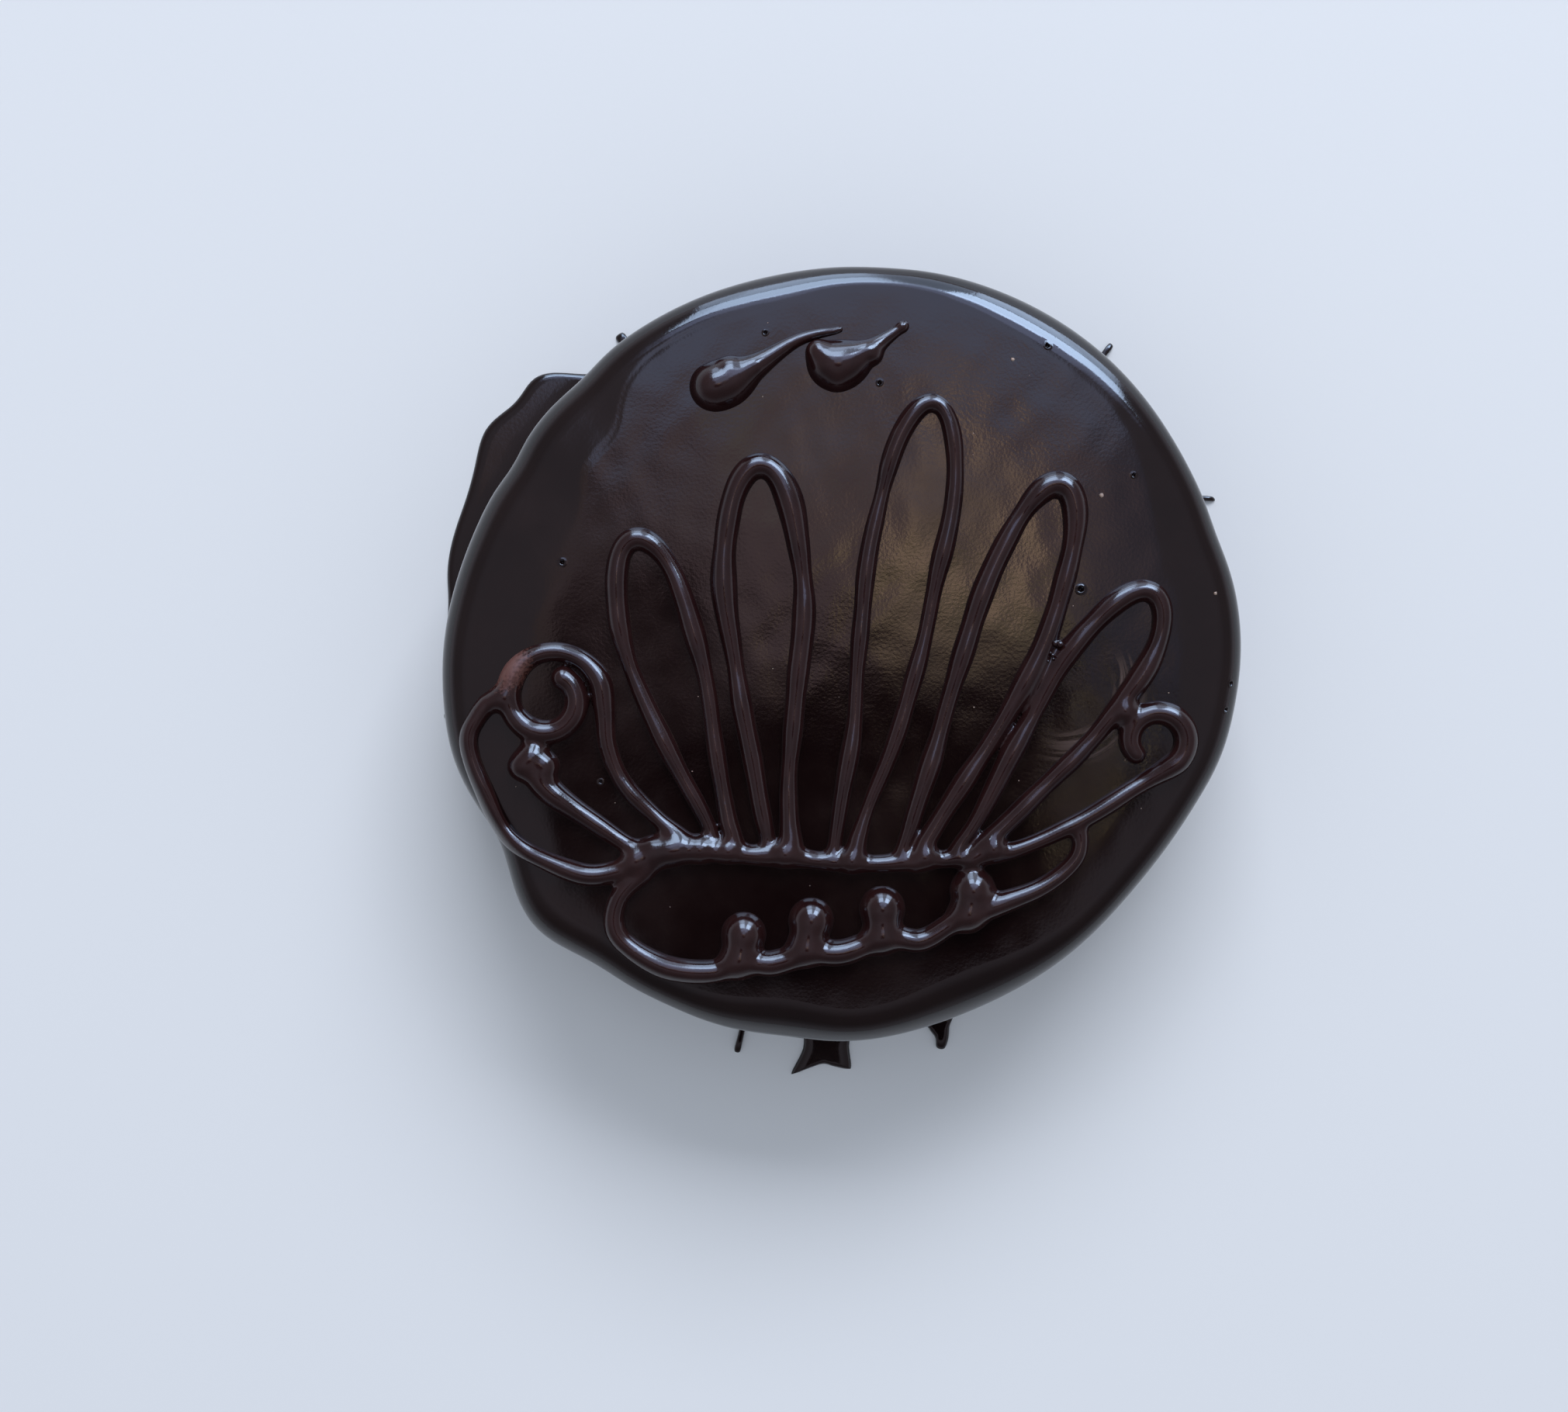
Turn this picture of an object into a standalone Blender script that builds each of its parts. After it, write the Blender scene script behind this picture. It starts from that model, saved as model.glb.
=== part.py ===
"""A whole chocolate-glazed torte with a flourish piped on top, in metres, +Z up.

The origin is the middle of the flat underside. +Y points away from whoever the top faces.
The glazed cake is one solid. Each stroke of piping is a bead of its own that follows the
glaze 0.3 mm above it: a fan of five petals standing on a swag, a volute and a loop at the
left, a scalloped line below, and two drops above.
"""

import math

import bmesh
import bpy
from mathutils import Vector

# The glazed cake
WALL_RADIUS = 0.1035  # where the wall doesn't bulge
CAKE_HEIGHT = 0.050
SHOULDER_RADIUS = 0.008
AROUND = 144  # points round the cake
SHOULDER_STEPS = 4

# Bulges of the wall: direction and half width in degrees, then how far out
WALL_BULGES = (
    (0, 22, 0.0050),
    (52, 30, 0.0042),
    (188, 25, 0.0060),
    (222, 9, 0.0066),
    (255, 36, 0.0048),
)

# Glaze that ran out over the base, as for the bulges: a puddle at the left, a broad tongue
# and a small one at the front
FOOT_REACH = 0.0015
RUN_OFFS = (
    (137, 5, 0.0108),
    (147, 7.5, 0.0113),
    (161, 16, 0.0096),
    (267.5, 4.5, 0.0140),
    (284, 2.5, 0.0090),
)
# The run-off's section, from the floor up the wall: share of the reach, then height
FOOT_SECTION = ((1.0, 0.0), (1.0, 0.0012), (0.85, 0.0022), (0.35, 0.0030), (0.1, 0.0055), (0.0, 0.0120))

# Piping
GAP = 0.0003  # between a bead and what it lies on
BEAD_HEIGHT = 0.68  # of a bead's width
DROP_HEIGHT = 0.42  # the same for the drops and the knot, which spread out more
SLOPE_STEP = 0.00001  # over which the glaze's slope under a bead is taken
LONGEST_STEP = 0.006  # between sections along a bead
MOST_TURN = math.radians(20)
SECTION_ANGLES = (-41.8, 4.0, 62.0, 118.0, 176.0, 221.8)  # round an ellipse cut off flat below
BLUNT_END = 0.35  # width of a bead's end cap, as a share of the bead

# Petals: base, tip, half width of the loop, how far it bows sideways, and the bead's width
# at the petal's foot and at its tip
PETALS = (
    ((-0.0335, -0.0480), (-0.0570, 0.0300), 0.0082, -0.0005, (0.0042, 0.0060)),
    ((-0.0170, -0.0500), (-0.0220, 0.0500), 0.0088, -0.0015, (0.0046, 0.0068)),
    ((0.0010, -0.0525), (0.0240, 0.0665), 0.0084, 0.0015, (0.0042, 0.0048)),
    ((0.0195, -0.0515), (0.0590, 0.0440), 0.0086, 0.0020, (0.0046, 0.0062)),
    ((0.0370, -0.0485), (0.0830, 0.0150), 0.0082, 0.0020, (0.0044, 0.0058)),
)
PETAL_STEPS = 28
LEG_SPACING = 0.0026  # from a petal's middle line to each leg's, at its foot
TEARDROP_POWER = 1.5
TEARDROP_PEAK = 0.70  # highest value of sin(t) * sin(t / 2) ** TEARDROP_POWER

# Spirals: centre, then radius and direction in degrees where it starts and where it ends
VOLUTE_TURN = ((-0.0790, -0.0135), (0.0148, -10), (0.0060, 440))
SWAG_TURN = ((0.0835, -0.0245), (0.0092, -60), (0.0052, 250))
SPIRAL_STEP = 30  # degrees

# Strokes: x, y and the bead's width at each point, in the order they are piped
VOLUTE_TAIL = ((-0.0500, -0.0465, 0.0040), (-0.0575, -0.0380, 0.0046), (-0.0630, -0.0260, 0.0048))
VOLUTE_WIDTHS = (0.0050, 0.0068)
SWAG_LINE = (
    (-0.0390, -0.0545, 0.0050),
    (-0.0184, -0.0560, 0.0046),
    (0.0049, -0.0583, 0.0042),
    (0.0366, -0.0560, 0.0040),
    (0.0620, -0.0475, 0.0042),
    (0.0790, -0.0380, 0.0046),
)
SWAG_TURN_WIDTHS = (0.0058, 0.0050)
SCALLOP_LINE = (
    (-0.0535, -0.0605, 0.0046),
    (-0.0607, -0.0683, 0.0050),
    (-0.0605, -0.0775, 0.0052),
    (-0.0480, -0.0863, 0.0054),
    (-0.0332, -0.0880, 0.0056),
    (-0.0195, -0.0842, 0.0052),
    (-0.0004, -0.0812, 0.0052),
    (0.0218, -0.0785, 0.0052),
    (0.0397, -0.0710, 0.0052),
    (0.0535, -0.0640, 0.0046),
    (0.0625, -0.0565, 0.0040),
)
# Each knob rises from the scalloped line to its rounded head
KNOBS = (
    ((-0.0285, -0.0860), (-0.0268, -0.0735)),
    ((-0.0100, -0.0820), (-0.0085, -0.0695)),
    ((0.0110, -0.0790), (0.0108, -0.0665)),
    ((0.0330, -0.0735), (0.0350, -0.0605)),
)
KNOB_WIDTHS = (0.0060, 0.0092)
KNOB_LIFT = 0.0001  # a knob's flat underside, above the line's
SIDE_LOOP = (
    (-0.0965, -0.0165, 0.0040),
    (-0.1005, -0.0260, 0.0042),
    (-0.0980, -0.0375, 0.0042),
    (-0.0903, -0.0514, 0.0044),
    (-0.0712, -0.0603, 0.0048),
    (-0.0580, -0.0595, 0.0050),
)
SIDE_SPUR = ((-0.0830, -0.0340, 0.0054), (-0.0760, -0.0410, 0.0048), (-0.0600, -0.0520, 0.0044))
KNOT = ((-0.0545, -0.0540, 0.0070), (-0.0480, -0.0545, 0.0085), (-0.0415, -0.0535, 0.0060))
DROPS = {
    "drop_left": (
        (-0.0388, 0.0702, 0.0090),
        (-0.0321, 0.0717, 0.0125),
        (-0.0240, 0.0760, 0.0066),
        (-0.0140, 0.0822, 0.0036),
        (-0.0075, 0.0846, 0.0026),
        (-0.0010, 0.0858, 0.0020),
    ),
    "drop_right": (
        (-0.0062, 0.0785, 0.0070),
        (-0.0015, 0.0760, 0.0125),
        (0.0060, 0.0795, 0.0068),
        (0.0115, 0.0835, 0.0036),
        (0.0170, 0.0875, 0.0028),
    ),
}

GLAZE_COLOUR = (0.012, 0.007, 0.006, 1.0)
PIPING_COLOUR = (0.040, 0.017, 0.014, 1.0)


def swell(direction, swells):
    """Sum of the swells at this direction, each a rounded bump (direction, half width, size)."""
    total = 0.0
    for middle, half_width, size in swells:
        apart = (direction - middle + 180) % 360 - 180
        total += size * math.exp(-((apart / half_width) ** 2))
    return total


def wall_radius(direction):
    return WALL_RADIUS + swell(direction, WALL_BULGES)


def material(name, colour, roughness):
    made = bpy.data.materials.new(name)
    made.use_nodes = True
    shader = made.node_tree.nodes["Principled BSDF"]
    shader.inputs["Base Color"].default_value = colour
    shader.inputs["Roughness"].default_value = roughness
    shader.inputs["Metallic"].default_value = 0.0
    return made


def add_object(name, mesh, its_material):
    obj = bpy.data.objects.new(name, mesh)
    bpy.context.scene.collection.objects.link(obj)
    mesh.materials.append(its_material)
    mesh.shade_smooth()
    mesh.set_sharp_from_angle(angle=math.radians(50))
    return obj


def lofted_mesh(name, sections):
    """A closed mesh over sections that hold the same number of points, the first and last filled."""
    build = bmesh.new()
    loops = [[build.verts.new(point) for point in section] for section in sections]
    count = len(loops[0])
    for lower, upper in zip(loops, loops[1:]):
        for i in range(count):
            after = (i + 1) % count
            build.faces.new((lower[i], lower[after], upper[after], upper[i]))
    build.faces.new(reversed(loops[0]))
    build.faces.new(loops[-1])
    bmesh.ops.recalc_face_normals(build, faces=build.faces)
    mesh = bpy.data.meshes.new(name)
    build.to_mesh(mesh)
    build.free()
    return mesh


def cake_profile(direction):
    """Radius and height up the run-off, the wall and the shoulder, in this direction."""
    wall = wall_radius(direction)
    reach = FOOT_REACH + swell(direction, RUN_OFFS)
    profile = [(wall + share * reach, height) for share, height in FOOT_SECTION]
    for step in range(SHOULDER_STEPS + 1):
        angle = math.pi / 2 * step / SHOULDER_STEPS
        radius = wall - SHOULDER_RADIUS * (1 - math.cos(angle))
        profile.append((radius, CAKE_HEIGHT - SHOULDER_RADIUS * (1 - math.sin(angle))))
    return profile


def add_cake(its_material):
    directions = [360 * i / AROUND for i in range(AROUND)]
    profiles = [cake_profile(direction) for direction in directions]
    sections = []
    for level in zip(*profiles):
        section = []
        for direction, (radius, height) in zip(directions, level):
            angle = math.radians(direction)
            section.append((radius * math.cos(angle), radius * math.sin(angle), height))
        sections.append(section)
    add_object("cake", lofted_mesh("cake", sections), its_material)


def glaze_height(x, y):
    """Height of the glazed top: flat, then falling away over the shoulder."""
    wall = wall_radius(math.degrees(math.atan2(y, x)))
    lean = max(0.0, math.hypot(x, y) - (wall - SHOULDER_RADIUS)) / SHOULDER_RADIUS
    return CAKE_HEIGHT - SHOULDER_RADIUS * (1 - math.sqrt(1 - lean * lean))


def glaze_at(x, y):
    """The point of the glazed top over x, y, and the way it faces there."""
    here = glaze_height(x, y)
    slope_x = (glaze_height(x + SLOPE_STEP, y) - here) / SLOPE_STEP
    slope_y = (glaze_height(x, y + SLOPE_STEP) - here) / SLOPE_STEP
    return Vector((x, y, here)), Vector((-slope_x, -slope_y, 1)).normalized()


def smooth_points(stroke, steps=12):
    """Points along the Catmull-Rom curve through a stroke's points, each x, y and width."""
    points = [Vector(point) for point in stroke]
    points = [2 * points[0] - points[1], *points, 2 * points[-1] - points[-2]]
    curve = []
    for before, start, end, after in zip(points, points[1:], points[2:], points[3:]):
        for step in range(steps):
            t = step / steps
            slope = end - before
            bend = 2 * before - 5 * start + 4 * end - after
            twist = 3 * start - before - 3 * end + after
            curve.append(start + (slope * t + bend * t**2 + twist * t**3) / 2)
    curve.append(points[-2])
    return curve


def stations(stroke):
    """The places along a bead that get a section: more of them in a bend and at the round ends."""
    curve = smooth_points(stroke)
    lengths = [0.0]
    for start, end in zip(curve, curve[1:]):
        lengths.append(lengths[-1] + (end - start).to_2d().length)
    total = lengths[-1]
    kept = [(curve[0], curve[1] - curve[0], 0.0)]
    heading = (curve[1] - curve[0]).to_2d()
    for i in range(1, len(curve) - 1):
        going = (curve[i + 1] - curve[i - 1]).to_2d()
        since = lengths[i] - kept[-1][2]
        near_end = min(lengths[i], total - lengths[i]) < 0.6 * curve[i].z
        longest = 0.25 * curve[i].z if near_end else LONGEST_STEP
        if since > longest or (going.angle(heading) > MOST_TURN and since > 0.0005):
            kept.append((curve[i], curve[i + 1] - curve[i - 1], lengths[i]))
            heading = going
    kept.append((curve[-1], curve[-1] - curve[-2], total))
    return kept, total


def add_bead(name, stroke, its_material, height_share=BEAD_HEIGHT, lift=GAP):
    """A bead of piping along a stroke: flat below, rounded above and at both ends."""
    kept, total = stations(stroke)
    sections = []
    for place, going, length in kept:
        ground, up = glaze_at(place.x, place.y)
        ahead = Vector((going.x, going.y, 0)).normalized()
        aside = ahead.cross(up).normalized()
        from_end = min(min(length, total - length) / (place.z / 2), 1.0)
        width = place.z * max(math.sqrt(1 - (1 - from_end) ** 2), BLUNT_END)
        section = []
        for degrees in SECTION_ANGLES:
            angle = math.radians(degrees)
            across = width / 2 * math.cos(angle)
            high = lift + width * height_share * (0.4 + 0.6 * math.sin(angle))
            section.append(ground + aside * across + up * high)
        sections.append(section)
    return add_object(name, lofted_mesh(name, sections), its_material)


def petal_stroke(base, tip, half_width, bow, widths):
    """A teardrop loop piped up one leg, round the tip and down the other."""
    base = Vector(base)
    length = Vector(tip) - base
    right = Vector((length.y, -length.x)).normalized()
    foot_width, tip_width = widths
    stroke = []
    for step in range(PETAL_STEPS + 1):
        turn = 2 * math.pi * step / PETAL_STEPS
        along = (1 - math.cos(turn)) / 2
        spread = math.sin(turn) * math.sin(turn / 2) ** TEARDROP_POWER / TEARDROP_PEAK
        aside = half_width * spread + LEG_SPACING * math.cos(turn / 2)
        place = base + length * along + right * (aside + bow * math.sin(math.pi * along))
        stroke.append((place.x, place.y, foot_width + (tip_width - foot_width) * along))
    return stroke


def spiral_stroke(turn, widths):
    """Points round a spiral whose radius and width change evenly with the angle."""
    (centre_x, centre_y), (first_radius, first_angle), (last_radius, last_angle) = turn
    steps = math.ceil((last_angle - first_angle) / SPIRAL_STEP)
    stroke = []
    for step in range(steps + 1):
        t = step / steps
        radius = first_radius + (last_radius - first_radius) * t
        angle = math.radians(first_angle + (last_angle - first_angle) * t)
        width = widths[0] + (widths[1] - widths[0]) * t
        stroke.append((centre_x + radius * math.cos(angle), centre_y + radius * math.sin(angle), width))
    return stroke


def add_scallops(its_material):
    """The wavy line with its knobs joined on."""
    line = add_bead("scallops", SCALLOP_LINE, its_material)
    for number, (foot, head) in enumerate(KNOBS, 1):
        stroke = [(*foot, KNOB_WIDTHS[0]), (*head, KNOB_WIDTHS[1])]
        knob = add_bead(f"knob_{number}", stroke, its_material, lift=GAP + KNOB_LIFT)
        knob.hide_render = True
        knob.display_type = "WIRE"
        join = line.modifiers.new(knob.name, "BOOLEAN")
        join.operation = "UNION"
        join.object = knob


def main():
    for obj in list(bpy.data.objects):
        bpy.data.objects.remove(obj)
    glaze = material("glaze", GLAZE_COLOUR, 0.15)
    piping = material("piping", PIPING_COLOUR, 0.4)

    add_cake(glaze)
    for number, petal in enumerate(PETALS, 1):
        add_bead(f"petal_{number}", petal_stroke(*petal), piping)
    add_bead("volute", [*VOLUTE_TAIL, *spiral_stroke(VOLUTE_TURN, VOLUTE_WIDTHS)], piping)
    add_bead("swag", [*SWAG_LINE, *spiral_stroke(SWAG_TURN, SWAG_TURN_WIDTHS)], piping)
    add_bead("side_loop", SIDE_LOOP, piping)
    add_bead("side_spur", SIDE_SPUR, piping)
    add_bead("knot", KNOT, piping, height_share=DROP_HEIGHT)
    add_scallops(piping)
    for name, stroke in DROPS.items():
        add_bead(name, stroke, piping, height_share=DROP_HEIGHT)


main()
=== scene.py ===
"""Looks for a whole chocolate-glazed torte with a piped flourish, in metres, +Z up."""

import math

import bmesh
import bpy
import numpy as np
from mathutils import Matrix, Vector


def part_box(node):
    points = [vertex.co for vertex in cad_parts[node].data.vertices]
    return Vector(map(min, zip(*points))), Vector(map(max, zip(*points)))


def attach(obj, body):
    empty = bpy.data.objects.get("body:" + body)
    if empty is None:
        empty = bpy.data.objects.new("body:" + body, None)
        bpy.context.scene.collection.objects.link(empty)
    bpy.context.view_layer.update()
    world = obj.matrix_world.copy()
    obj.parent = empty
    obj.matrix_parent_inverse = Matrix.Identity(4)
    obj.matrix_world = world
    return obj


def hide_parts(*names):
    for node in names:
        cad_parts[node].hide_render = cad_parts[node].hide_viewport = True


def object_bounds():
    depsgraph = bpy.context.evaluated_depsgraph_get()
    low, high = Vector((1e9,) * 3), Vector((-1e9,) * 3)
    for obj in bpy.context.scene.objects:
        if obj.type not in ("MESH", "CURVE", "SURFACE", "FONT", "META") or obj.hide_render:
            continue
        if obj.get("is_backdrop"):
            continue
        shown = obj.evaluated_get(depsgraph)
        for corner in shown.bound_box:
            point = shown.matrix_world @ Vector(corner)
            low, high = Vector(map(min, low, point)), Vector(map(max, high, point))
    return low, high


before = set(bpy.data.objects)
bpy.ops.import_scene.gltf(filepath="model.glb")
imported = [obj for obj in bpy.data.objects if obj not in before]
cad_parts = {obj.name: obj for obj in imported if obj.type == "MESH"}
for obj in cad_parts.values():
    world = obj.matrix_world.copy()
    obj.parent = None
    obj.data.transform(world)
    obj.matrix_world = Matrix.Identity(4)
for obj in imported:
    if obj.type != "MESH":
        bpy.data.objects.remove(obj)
cad_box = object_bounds()


# The torte: a round sponge under a poured coat of chocolate glaze. The glaze was spread warm,
# ran over the shoulder and down the wall, and set as one skin: flat on top, a little lower
# towards the rim, wavy down the side, with a puddle that ran out over the base at the left.
cake_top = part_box("cake")[1].z
wall_radius = 0.1035
# Bulges and dents of the wall: direction and half width in degrees, then how far out
wall_bulges = (
    (0, 22, 0.0050),
    (52, 30, 0.0042),
    (188, 25, 0.0060),
    (222, 9, 0.0066),
    (255, 36, 0.0048),
)
wall_dents = (
    (17, 5, -0.0006),
    (84, 7, -0.0004),
    (134, 5, -0.0010),
    (151, 4, -0.0009),
    (196, 7, 0.0009),
    (209, 5, -0.0010),
    (237, 6, 0.0009),
    (262, 7, -0.0009),
    (320, 12, -0.0009),
    (344, 7, 0.0008),
)
shoulder_radius = 0.0072
shoulder_swells = (
    (58, 14, 0.0026),
    (82, 10, -0.0010),
    (101, 9, 0.0016),
    (150, 30, 0.0016),
    (225, 10, 0.0020),
    (260, 11, 0.0040),
    (289, 15, 0.0050),
)
# The glaze starts to fall this far in from the shoulder: narrow at the back, wide at the
# sides and front. It bends sharply at the back left, where one pour set over another
brim_widths = (
    (0, 0.0100),
    (14, 0.0110),
    (26, 0.0070),
    (38, 0.0022),
    (60, 0.0008),
    (100, 0.0008),
    (124, 0.0012),
    (131, 0.0035),
    (136, 0.0098),
    (142, 0.0106),
    (146, 0.0098),
    (152, 0.0145),
    (165, 0.0185),
    (182, 0.0175),
    (200, 0.0110),
    (225, 0.0060),
    (250, 0.0050),
    (280, 0.0075),
    (310, 0.0070),
    (335, 0.0080),
    (350, 0.0090),
)
# Directions either side, in degrees, that the brim's width is averaged over
brim_evening = (-2, 0, 2)
brim_slope = 0.050
brim_bend = 0.0005
brim_bend_swells = ((270, 50, 0.0060), (0, 30, 0.0016), (175, 16, 0.0030))
# A shallow groove runs along that bend
groove_depth = 0.00005
groove_width = 0.0006
groove_swells = ((117, 12, 1.0), (138, 8, 1.0))
# Where the glaze ran out over the base
foot_reach = 0.0016
run_out = ((137, 5, 0.0108), (147, 7.5, 0.0113), (161, 16, 0.0096), (172, 3, -0.0006))
film_height = 0.0015
film_edge = 0.0022
foot_rise = 0.0065
foot_fillet = 0.0016
# Unevenness of the poured glaze: longest and shortest wave, height, count of waves, seed
top_swells = (0.085, 0.030, 0.00013, 9, 4)
top_ripples = (0.014, 0.006, 0.000014, 12, 5)
wall_flow = (0.060, 0.010, 0.00110, 12, 6)
# The wall's waves are laid out round this radius, and counting only a share of the height
# draws them out down the wall
wall_flow_radius = 0.100
wall_flow_rise = 0.35
wall_sag = 0.0006
# How finely the skin is divided: round the cake, up the wall, over the shoulder, and inwards
# over the top, where the rings crowd towards the rim
around = 600
wall_steps = 14
shoulder_steps = 14
flat_steps = 104
flat_crowding = 1.25
directions = np.arange(around) * 360 / around


def swell(direction, swells):
    """Sum of rounded bumps (middle, half width in degrees, size) at each direction."""
    total = np.zeros_like(direction)
    for middle, half_width, size in swells:
        apart = (direction - middle + 180) % 360 - 180
        total = total + size * np.exp(-((apart / half_width) ** 2))
    return total


def wall_at(direction):
    return wall_radius + swell(direction, wall_bulges) + swell(direction, wall_dents)


def waves(x, y, longest, shortest, height, count, seed):
    """Gentle uneven waves over a surface, as a sum of plane waves in seeded directions."""
    draw = np.random.default_rng(seed)
    total = np.zeros_like(x)
    for _ in range(count):
        length = shortest * (longest / shortest) ** draw.random()
        heading, start = draw.random(2) * 2 * math.pi
        phase = (x * math.cos(heading) + y * math.sin(heading)) * 2 * math.pi / length
        total = total + np.sin(phase + start) * length / longest
    return total * height / math.sqrt(count)


def glaze_height(x, y):
    """Height of the set glaze over each point of the top, down to where the wall begins."""
    direction = np.degrees(np.arctan2(y, x))
    inward = wall_at(direction) - np.hypot(x, y)
    shoulder = shoulder_radius + swell(direction, shoulder_swells)
    beyond = np.clip(shoulder - inward, 0, shoulder)
    rounding = shoulder - np.sqrt(shoulder**2 - beyond**2)
    brim_places, brim_sizes = zip(*brim_widths)
    near_widths = [
        np.interp(direction + turn, brim_places, brim_sizes, period=360) for turn in brim_evening
    ]
    over = shoulder + sum(near_widths) / len(near_widths) - inward
    bend = brim_bend + swell(direction, brim_bend_swells)
    brim = brim_slope * (over + np.sqrt(over**2 + bend**2)) / 2
    groove = np.minimum(swell(direction, groove_swells), 1) * np.exp(-((over / groove_width) ** 2))
    relief = waves(x, y, *top_swells) + waves(x, y, *top_ripples)
    return cake_top - rounding - brim - groove_depth * groove + relief


wall = wall_at(directions)
shoulder = shoulder_radius + swell(directions, shoulder_swells)
reach = foot_reach + swell(directions, run_out)
angles = np.radians(directions)


def ring(radius, height=None):
    """Points round the cake at these radii. Without heights they lie on the glazed top."""
    x = radius * np.cos(angles)
    y = radius * np.sin(angles)
    return np.stack([x, y, glaze_height(x, y) if height is None else height + 0 * x], axis=1)


rings = []
for share in (0, 0.01, 0.03, 0.07, 0.13, 0.21, 0.31, 0.43, 0.56, 0.68, 0.79, 0.88, 0.95, 1):
    outside = reach * (1 - share)
    edge = np.sqrt(1 - (1 - np.minimum((reach - outside) / np.minimum(film_edge, reach), 1)) ** 2)
    rise = film_height + foot_rise * np.exp(-outside / foot_fillet)
    rings.append(ring(wall + outside, edge * rise))
foot_height = rings[-1][:, 2]
shoulder_foot = ring(wall)[:, 2]
for step in range(1, wall_steps):
    share = step / wall_steps
    height = foot_height + (shoulder_foot - foot_height) * share
    belly = math.sin(math.pi * share)
    flow = waves(angles * wall_flow_radius, height * wall_flow_rise, *wall_flow)
    sag = wall_sag * math.sin(math.pi * share**0.6)
    rings.append(ring(wall + belly * flow + sag, height))
for step in range(shoulder_steps + 1):
    turn = math.pi / 2 * step / shoulder_steps
    rings.append(ring(wall - shoulder * (1 - math.cos(turn))))
for step in range(1, flat_steps):
    rings.append(ring((wall - shoulder) * (1 - (step / flat_steps) ** flat_crowding)))

cake_build = bmesh.new()
loops = [[cake_build.verts.new(point) for point in points] for points in rings]
for lower, upper in zip(loops, loops[1:]):
    for i in range(around):
        after = (i + 1) % around
        cake_build.faces.new((lower[i], lower[after], upper[after], upper[i]))
middle = cake_build.verts.new((0, 0, float(glaze_height(np.zeros(1), np.zeros(1))[0])))
for i in range(around):
    cake_build.faces.new((loops[-1][i], loops[-1][(i + 1) % around], middle))
underside = cake_build.faces.new(reversed(loops[0]))
underside.material_index = 1

# Pinholes: small bubbles that rose through the warm glaze and burst as it set. Each is a
# pit with a thin raised lip, two of them in the shoulder at the right: place, then radius
pinholes = (
    (-0.0209, 0.0852, 0.00050),
    (0.0099, 0.0717, 0.00055),
    (0.0552, 0.0817, 0.00065),
    (0.0784, 0.0468, 0.00050),
    (0.0622, 0.0394, 0.00045),
    (0.0413, 0.0249, 0.00045),
    (-0.0757, 0.0233, 0.00065),
    (-0.0653, -0.0359, 0.00045),
    (0.0641, 0.0160, 0.00080),
    (0.1050, -0.0095, 0.00060),
    (0.1036, -0.0166, 0.00055),
)
# As shares of that radius: the pit's depth, and the lip's height, place and width
pit_depth = 1.5
lip_height = 0.22
lip_place = 1.25
lip_width = 0.35
for x, y, radius in pinholes:
    here = Vector((x, y, float(glaze_height(np.array(x), np.array(y)))))
    for _ in range(2):
        near = [v for v in cake_build.verts if (v.co - here).length < 3.2 * radius + 0.0008]
        edges = {edge for v in near for edge in v.link_edges}
        bmesh.ops.subdivide_edges(cake_build, edges=list(edges), cuts=1, use_grid_fill=True)
    cake_build.normal_update()
    facing = min(cake_build.verts, key=lambda v: (v.co - here).length).normal.copy()
    for vert in cake_build.verts:
        away = (vert.co - here).length / radius
        if away < 2.5:
            pit = pit_depth * radius * max(0.0, 1 - away**2)
            lip = lip_height * radius * math.exp(-(((away - lip_place) / lip_width) ** 2))
            vert.co += facing * (lip - pit)
bmesh.ops.recalc_face_normals(cake_build, faces=cake_build.faces)


def add_piece(name, build, crease=None):
    """A smooth piece from a finished build. Folds sharper than the crease, in degrees, stay."""
    mesh = bpy.data.meshes.new(name)
    build.to_mesh(mesh)
    build.free()
    mesh.shade_smooth()
    if crease is not None:
        mesh.set_sharp_from_angle(angle=math.radians(crease))
    piece = bpy.data.objects.new(name, mesh)
    bpy.context.scene.collection.objects.link(piece)
    return piece


edge_crease = 70
torte = add_piece("glazed_torte", cake_build, edge_crease)

# How chocolate sets, for glaze and piping alike: cloudy patches where it cooled at its own
# pace, and a very fine grain that shows as broken highlights
setting = bpy.data.node_groups.new("chocolate_setting", "ShaderNodeTree")
for name, low, high in (("Cloud Scale", 0, 500), ("Grain Scale", 0, 5000), ("Grain Depth", 0, 0.01)):
    socket = setting.interface.new_socket(name, in_out="INPUT", socket_type="NodeSocketFloat")
    socket.min_value = low
    socket.max_value = high
setting.interface.new_socket("Clouds", in_out="OUTPUT", socket_type="NodeSocketFloat")
setting.interface.new_socket("Normal", in_out="OUTPUT", socket_type="NodeSocketVector")
set_in = setting.nodes.new("NodeGroupInput")
set_out = setting.nodes.new("NodeGroupOutput")
set_place = setting.nodes.new("ShaderNodeTexCoord")
clouds = setting.nodes.new("ShaderNodeTexNoise")
clouds.inputs["Detail"].default_value = 4.0
clouds.inputs["Roughness"].default_value = 0.6
grain = setting.nodes.new("ShaderNodeTexNoise")
grain.inputs["Detail"].default_value = 2.0
grain_bump = setting.nodes.new("ShaderNodeBump")
grain_bump.inputs["Strength"].default_value = 1.0
link = setting.links.new
link(set_place.outputs["Object"], clouds.inputs["Vector"])
link(set_place.outputs["Object"], grain.inputs["Vector"])
link(set_in.outputs["Cloud Scale"], clouds.inputs["Scale"])
link(set_in.outputs["Grain Scale"], grain.inputs["Scale"])
link(grain.outputs["Fac"], grain_bump.inputs["Height"])
link(set_in.outputs["Grain Depth"], grain_bump.inputs["Distance"])
link(clouds.outputs["Fac"], set_out.inputs["Clouds"])
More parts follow.
